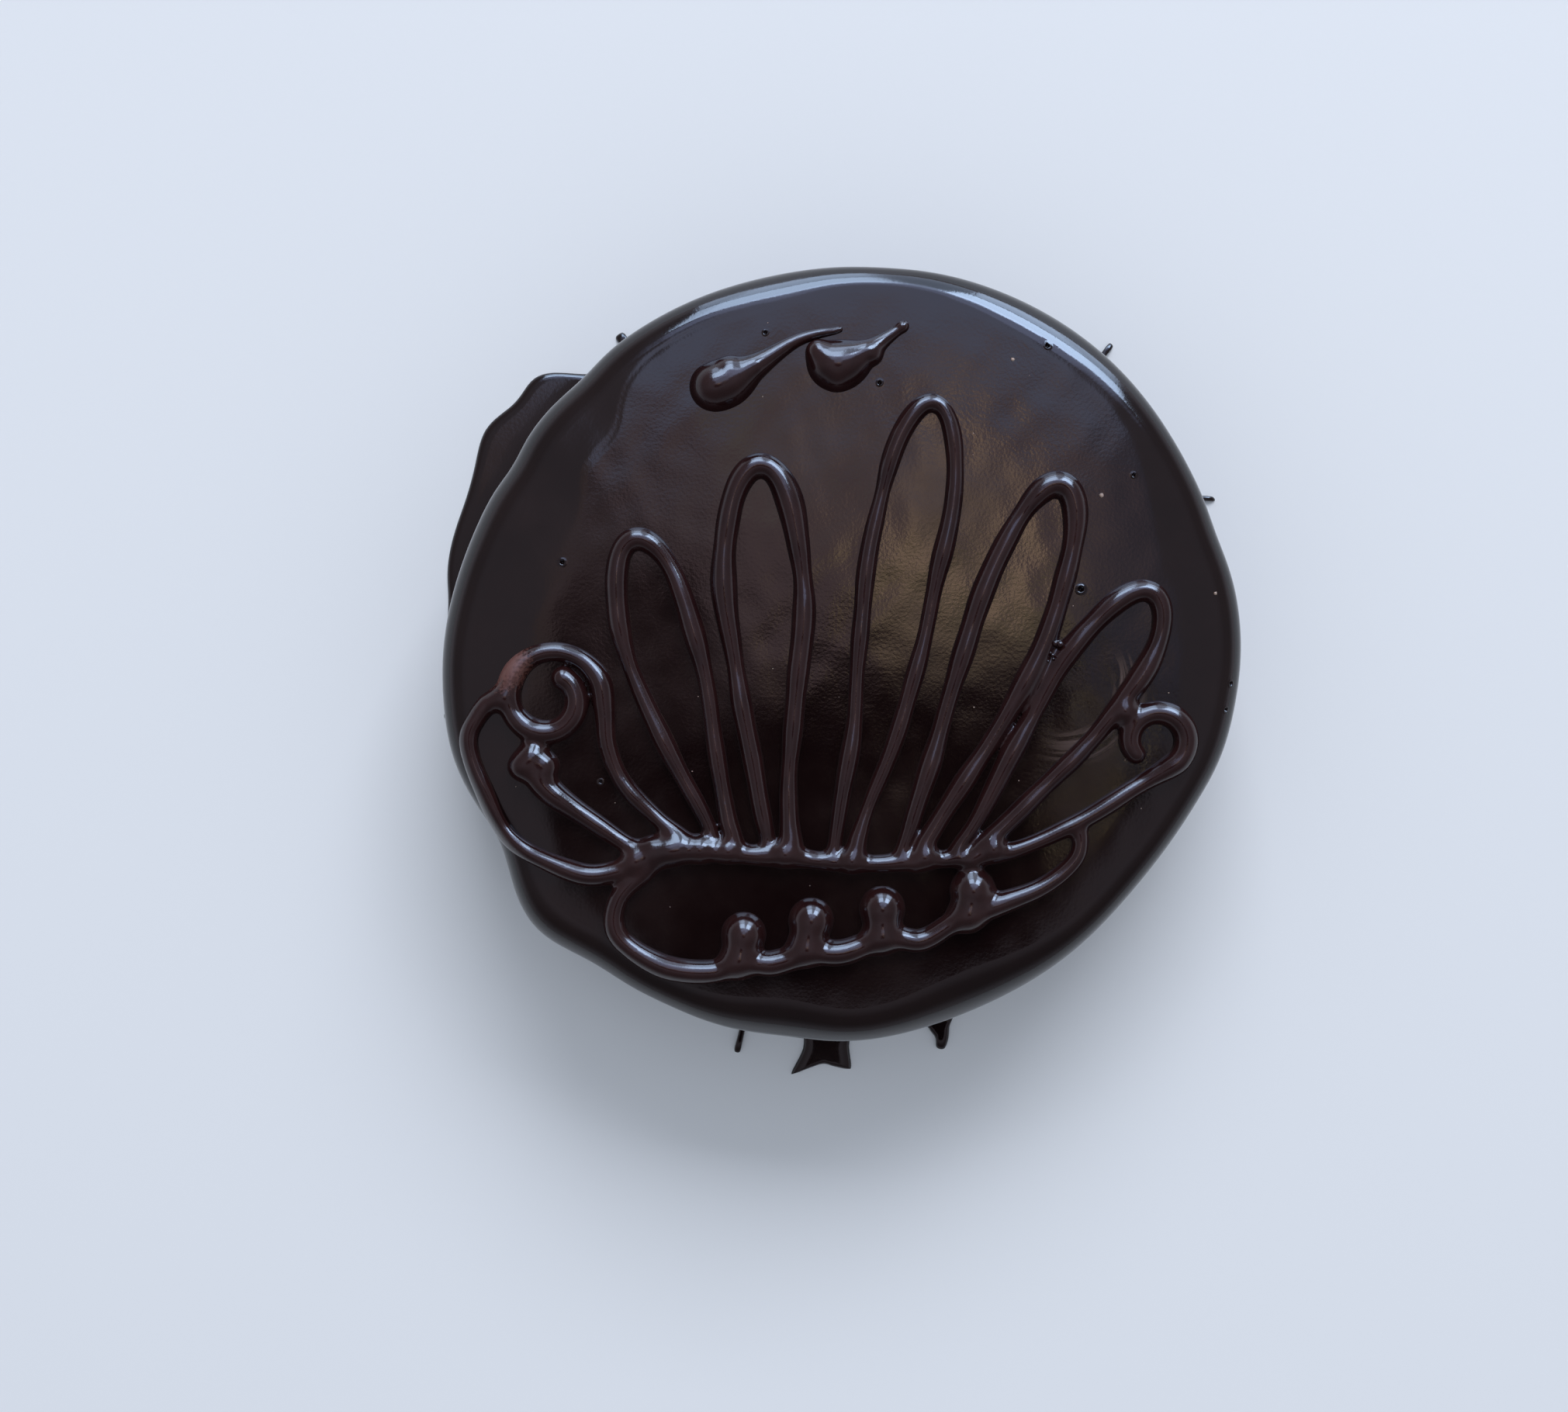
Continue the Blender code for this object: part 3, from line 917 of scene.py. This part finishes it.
# Lumps on each drop, x, y and radius: where the nozzle lifted off, and the tail's end
left_lumps = (
    (-0.0345, 0.0700, 0.0060),
    (-0.0304, 0.0748, 0.0040),
    (-0.0008, 0.0860, 0.0009),
)
right_lumps = (
    (-0.0066, 0.0797, 0.0036),
    (-0.0017, 0.0735, 0.0040),
    (0.0079, 0.0792, 0.0030),
    (0.0164, 0.0869, 0.0015),
)
for name, node, points, lumps, seed in (
    ("piped_drop_left", "drop_left", drop_left, left_lumps, 50),
    ("piped_drop_right", "drop_right", drop_right, right_lumps, 51),
):
    drop_strokes = [hand_piped(points, seed, 0.03, 0.0002), *(np.array([lump]) for lump in lumps)]
    drop = add_piping(name, drop_strokes, cell=0.0004, blend=0.0012, crest_most=0.0030)
    drop.data.materials.append(piping)
    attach(drop, "root")
    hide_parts(node)


# Bubbles: a small froth of burst air bubbles that set in the piping where two petals touch,
# made of the same chocolate.
froth_start = (0.0533, -0.0055)
froth_run = (0.0040, 0.0075)
froth_width = 0.0022
froth_height = 0.0028
bubble_count = 17
bubble_least = 0.00035
bubble_growth = 0.00050
bubble_rise = 0.0004
bubble_build = bmesh.new()
bubble_draw = np.random.default_rng(60)
for _ in range(bubble_count):
    share, aside, size = bubble_draw.random(3)
    x = froth_start[0] + froth_run[0] * share + froth_width * (aside - 0.5)
    y = froth_start[1] + froth_run[1] * share - froth_width * (aside - 0.5)
    radius = bubble_least + bubble_growth * size**2
    z = float(glaze_height(np.array(x), np.array(y))) + froth_height + bubble_rise * size
    made = bmesh.ops.create_icosphere(bubble_build, subdivisions=3, radius=radius)
    for vert in made["verts"]:
        vert.co += Vector((x, y, z))
bubbles = add_piece("piping_bubbles", bubble_build)
bubbles.data.materials.append(piping)
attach(bubbles, "root")


# Crumbs: pale grains of sugar and cake that fell on the wet glaze and set there, half sunk.
# Three are large, x, y and radius, and the rest are fine dust scattered over the top.
crumbs = [
    (0.0458, 0.0779, 0.00050),
    (0.0697, 0.0413, 0.00060),
    (0.1005, 0.0149, 0.00045),
]
dust_count = 34
dust_spread = 0.097
dust_least = 0.00010
dust_growth = 0.00012
crumb_build = bmesh.new()
crumb_draw = np.random.default_rng(80)
for _ in range(dust_count):
    bearing = crumb_draw.random() * 2 * math.pi
    outward = dust_spread * math.sqrt(crumb_draw.random())
    radius = dust_least + dust_growth * crumb_draw.random()
    crumbs.append((outward * math.cos(bearing), outward * math.sin(bearing), radius))
for x, y, radius in crumbs:
    z = float(glaze_height(np.array(x), np.array(y)))
    made = bmesh.ops.create_icosphere(crumb_build, subdivisions=2, radius=radius)
    for vert in made["verts"]:
        vert.co *= 0.8 + 0.4 * crumb_draw.random()
        vert.co.z *= 0.6
        vert.co += Vector((x, y, z + 0.2 * radius))
crumb_piece = add_piece("crumbs", crumb_build)
crumb_material = bpy.data.materials.new("pale_crumb")
crumb_material.use_nodes = True
crumb_shader = crumb_material.node_tree.nodes["Principled BSDF"]
crumb_shader.inputs["Subsurface Weight"].default_value = 0.2
crumb_shader.inputs["Subsurface Scale"].default_value = 0.0003
crumb_setting = add_setting(crumb_material, cloud_scale=900, grain_scale=4000, grain_depth=0.00002)
crumb_tan = (0.16, 0.085, 0.065, 1.0)
crumb_pale = (0.42, 0.33, 0.29, 1.0)
crumb_clouds = crumb_setting.outputs["Clouds"]
add_ramp(crumb_material, crumb_clouds, ((0.35, crumb_tan), (0.65, crumb_pale)), "Base Color")
add_ramp(crumb_material, crumb_clouds, ((0.3, grey(0.7)), (0.7, grey(0.5))), "Roughness")
crumb_piece.data.materials.append(crumb_material)
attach(crumb_piece, "root")


# The stage: a camera straight above, a pale floor, a soft window behind the cake to the right,
# and a ceiling whose near half is dark. All of it is plain studio and not part of the object.
camera_height = 0.650
camera_place = (-0.0159, -0.0155, cake_top + camera_height)
camera_data = bpy.data.cameras.new("camera")
camera_data.sensor_width = 36.0
camera_data.lens = 55.35
camera_data.clip_start = 0.05
camera = bpy.data.objects.new("camera", camera_data)
camera.location = camera_place
bpy.context.scene.collection.objects.link(camera)
bpy.context.scene.camera = camera

floor_build = bmesh.new()
bmesh.ops.create_circle(floor_build, cap_ends=True, radius=8.0, segments=96)
floor_mesh = bpy.data.meshes.new("floor")
floor_build.to_mesh(floor_mesh)
floor_build.free()
floor_material = bpy.data.materials.new("floor")
floor_material.use_nodes = True
floor_shader = floor_material.node_tree.nodes["Principled BSDF"]
floor_shader.inputs["Base Color"].default_value = (0.76, 0.79, 0.86, 1.0)
floor_shader.inputs["Roughness"].default_value = 0.7
floor_shader.inputs["Specular IOR Level"].default_value = 0.1
floor_mesh.materials.append(floor_material)
floor = bpy.data.objects.new("floor", floor_mesh)
bpy.context.scene.collection.objects.link(floor)
floor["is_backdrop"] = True

# The room: even daylight on the floor, and for what the gloss mirrors, pale walls all round,
# a bright ceiling towards the back, and a dark one over the cake's front
world = bpy.data.worlds.new("room")
world.use_nodes = True
bpy.context.scene.world = world
nodes = world.node_tree.nodes
link = world.node_tree.links.new
sight = nodes.new("ShaderNodeTexCoord")
split = nodes.new("ShaderNodeSeparateXYZ")
link(sight.outputs["Generated"], split.inputs["Vector"])
walls = nodes.new("ShaderNodeValToRGB")
wall_stops = (
    (0.0, (0.74, 0.74, 0.84)),
    (0.16, (0.66, 0.64, 0.75)),
    (0.30, (0.40, 0.38, 0.44)),
    (0.45, (0.28, 0.25, 0.28)),
    (0.80, (0.30, 0.27, 0.31)),
    (0.93, (0.38, 0.35, 0.41)),
    (1.0, (0.41, 0.37, 0.43)),
)
for _ in wall_stops[2:]:
    walls.color_ramp.elements.new(0.5)
for element, (place, colour) in zip(walls.color_ramp.elements, wall_stops):
    element.position = place
    element.color = (*colour, 1)
link(split.outputs["Z"], walls.inputs["Fac"])
# The side of the room in front of the cake is darker
in_front = nodes.new("ShaderNodeMapRange")
in_front.interpolation_type = "SMOOTHSTEP"
in_front.inputs["From Min"].default_value = -0.70
in_front.inputs["From Max"].default_value = -0.10
in_front.inputs["To Min"].default_value = 0.50
room_walls = nodes.new("ShaderNodeVectorMath")
room_walls.operation = "SCALE"
link(split.outputs["Y"], in_front.inputs["Value"])
link(walls.outputs["Color"], room_walls.inputs[0])
link(in_front.outputs["Result"], room_walls.inputs["Scale"])
upward = nodes.new("ShaderNodeMath")
upward.operation = "MAXIMUM"
upward.inputs[1].default_value = 0.05
link(split.outputs["Z"], upward.inputs[0])
stretch = nodes.new("ShaderNodeMath")
stretch.operation = "DIVIDE"
stretch.inputs[0].default_value = 1.0
link(upward.outputs["Value"], stretch.inputs[1])
overhead = nodes.new("ShaderNodeVectorMath")
overhead.operation = "SCALE"
link(sight.outputs["Generated"], overhead.inputs[0])
link(stretch.outputs["Value"], overhead.inputs["Scale"])
wobble = nodes.new("ShaderNodeTexNoise")
wobble.inputs["Scale"].default_value = 14.0
wobble.inputs["Detail"].default_value = 3.0
link(overhead.outputs["Vector"], wobble.inputs["Vector"])
# Bright and dark patches of the ceiling: centre and half size in metres sideways at one metre
# up, how soft the edge is, and colour. The last ones lie over the first
patch_raggedness = 0.7
patch_edge = 1 + patch_raggedness / 2
patches = (
    ((0.120, 0.640), (0.420, 0.360), 0.35, (1.90, 2.20, 3.40)),
    ((-0.125, 0.065), (0.036, 0.090), 0.50, (0.54, 0.41, 0.41)),
    ((0.165, 0.080), (0.036, 0.100), 0.50, (0.39, 0.40, 0.55)),
    ((0.030, 0.270), (0.150, 0.255), 0.25, (1.28, 1.42, 2.05)),
    ((0.024, 0.070), (0.125, 0.075), 0.60, (0.96, 0.68, 0.74)),
    ((0.064, 0.082), (0.016, 0.044), 0.60, (4.10, 2.80, 1.90)),
    ((0.046, 0.040), (0.020, 0.012), 0.80, (2.60, 1.90, 1.10)),
    ((0.090, 0.036), (0.040, 0.014), 0.80, (1.70, 1.35, 0.85)),
    ((-0.012, 0.108), (0.022, 0.016), 0.80, (1.30, 1.10, 0.95)),
    ((0.030, -0.085), (0.170, 0.112), 0.45, (0.02, 0.015, 0.02)),
    ((-0.066, 0.018), (0.034, 0.046), 0.60, (0.10, 0.07, 0.08)),
    ((-0.082, 0.085), (0.012, 0.022), 0.80, (0.08, 0.07, 0.08)),
    ((0.136, -0.059), (0.006, 0.011), 0.70, (7.0, 5.5, 3.3)),
    ((0.143, -0.017), (0.003, 0.012), 0.70, (5.0, 4.0, 2.6)),
)
mirrored = room_walls.outputs["Vector"]
for (x, y), (half_x, half_y), softness, colour in patches:
    place = nodes.new("ShaderNodeMapping")
    place.vector_type = "TEXTURE"
    place.inputs["Location"].default_value = (x, y, 1)
    place.inputs["Scale"].default_value = (half_x, half_y, 1)
    away = nodes.new("ShaderNodeVectorMath")
    away.operation = "LENGTH"
    ragged = nodes.new("ShaderNodeMath")
    ragged.operation = "MULTIPLY_ADD"
    ragged.inputs[1].default_value = patch_raggedness
    fade = nodes.new("ShaderNodeMapRange")
    fade.interpolation_type = "SMOOTHSTEP"
    fade.inputs["From Min"].default_value = patch_edge + softness / 2
    fade.inputs["From Max"].default_value = patch_edge - softness / 2
    over = nodes.new("ShaderNodeMix")
    over.data_type = "RGBA"
    over.inputs["B"].default_value = (*colour, 1)
    link(overhead.outputs["Vector"], place.inputs["Vector"])
    link(place.outputs["Vector"], away.inputs[0])
    link(wobble.outputs["Fac"], ragged.inputs[0])
    link(away.outputs["Value"], ragged.inputs[2])
    link(ragged.outputs["Value"], fade.inputs["Value"])
    link(fade.outputs["Result"], over.inputs["Factor"])
    link(mirrored, over.inputs["A"])
    mirrored = over.outputs["Result"]
# The painted room is only for the gloss. Everything else gets the same even daylight
ray = nodes.new("ShaderNodeLightPath")
by_ray = nodes.new("ShaderNodeMix")
by_ray.data_type = "RGBA"
by_ray.inputs["A"].default_value = (0.50, 0.53, 0.56, 1)
link(ray.outputs["Is Glossy Ray"], by_ray.inputs["Factor"])
link(mirrored, by_ray.inputs["B"])
link(by_ray.outputs["Result"], nodes["Background"].inputs["Color"])

# The window behind the cake, as the gloss mirrors it: two panes, the sill under each and a
# bright curtain. The wide soft daylight from the same side lights all but the gloss. Each has
# its distance, bearing and rise in degrees, width, height, power, and whether gloss mirrors it
window_blue = (0.68, 0.90, 1.26)
daylight_white = (0.95, 0.97, 1.0)
for name, distance, bearing, rise, width, height, energy, glossy in (
    ("window_right", 1.5, 57, 38, 0.58, 0.64, 16.0, True),
    ("window_left", 1.5, 99, 38, 0.62, 0.64, 11.0, True),
    ("sill_right", 1.5, 57, 14, 0.58, 0.56, 5.5, True),
    ("sill_left", 1.5, 99, 14, 0.62, 0.56, 4.5, True),
    ("curtain", 1.7, 79, 30, 1.50, 1.50, 14.0, True),
    ("daylight", 4.0, 80, 36, 3.00, 1.80, 130.0, False),
):
    pane_light = bpy.data.lights.new(name, "AREA")
    pane_light.shape = "RECTANGLE"
    pane_light.size = width
    pane_light.size_y = height
    pane_light.energy = energy
    pane_light.color = window_blue if glossy else daylight_white
    pane = bpy.data.objects.new(name, pane_light)
    bearing = math.radians(bearing)
    rise = math.radians(rise)
    pane.location = distance * Vector(
        (math.cos(rise) * math.cos(bearing), math.cos(rise) * math.sin(bearing), math.sin(rise))
    )
    pane.rotation_euler = (-pane.location).to_track_quat("-Z", "Y").to_euler()
    pane.visible_glossy = glossy
    pane.visible_diffuse = not glossy
    bpy.context.scene.collection.objects.link(pane)

bpy.context.scene.view_settings.view_transform = "Standard"

size = {"cad": [list(corner) for corner in cad_box], "visual": [list(corner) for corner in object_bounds()]}
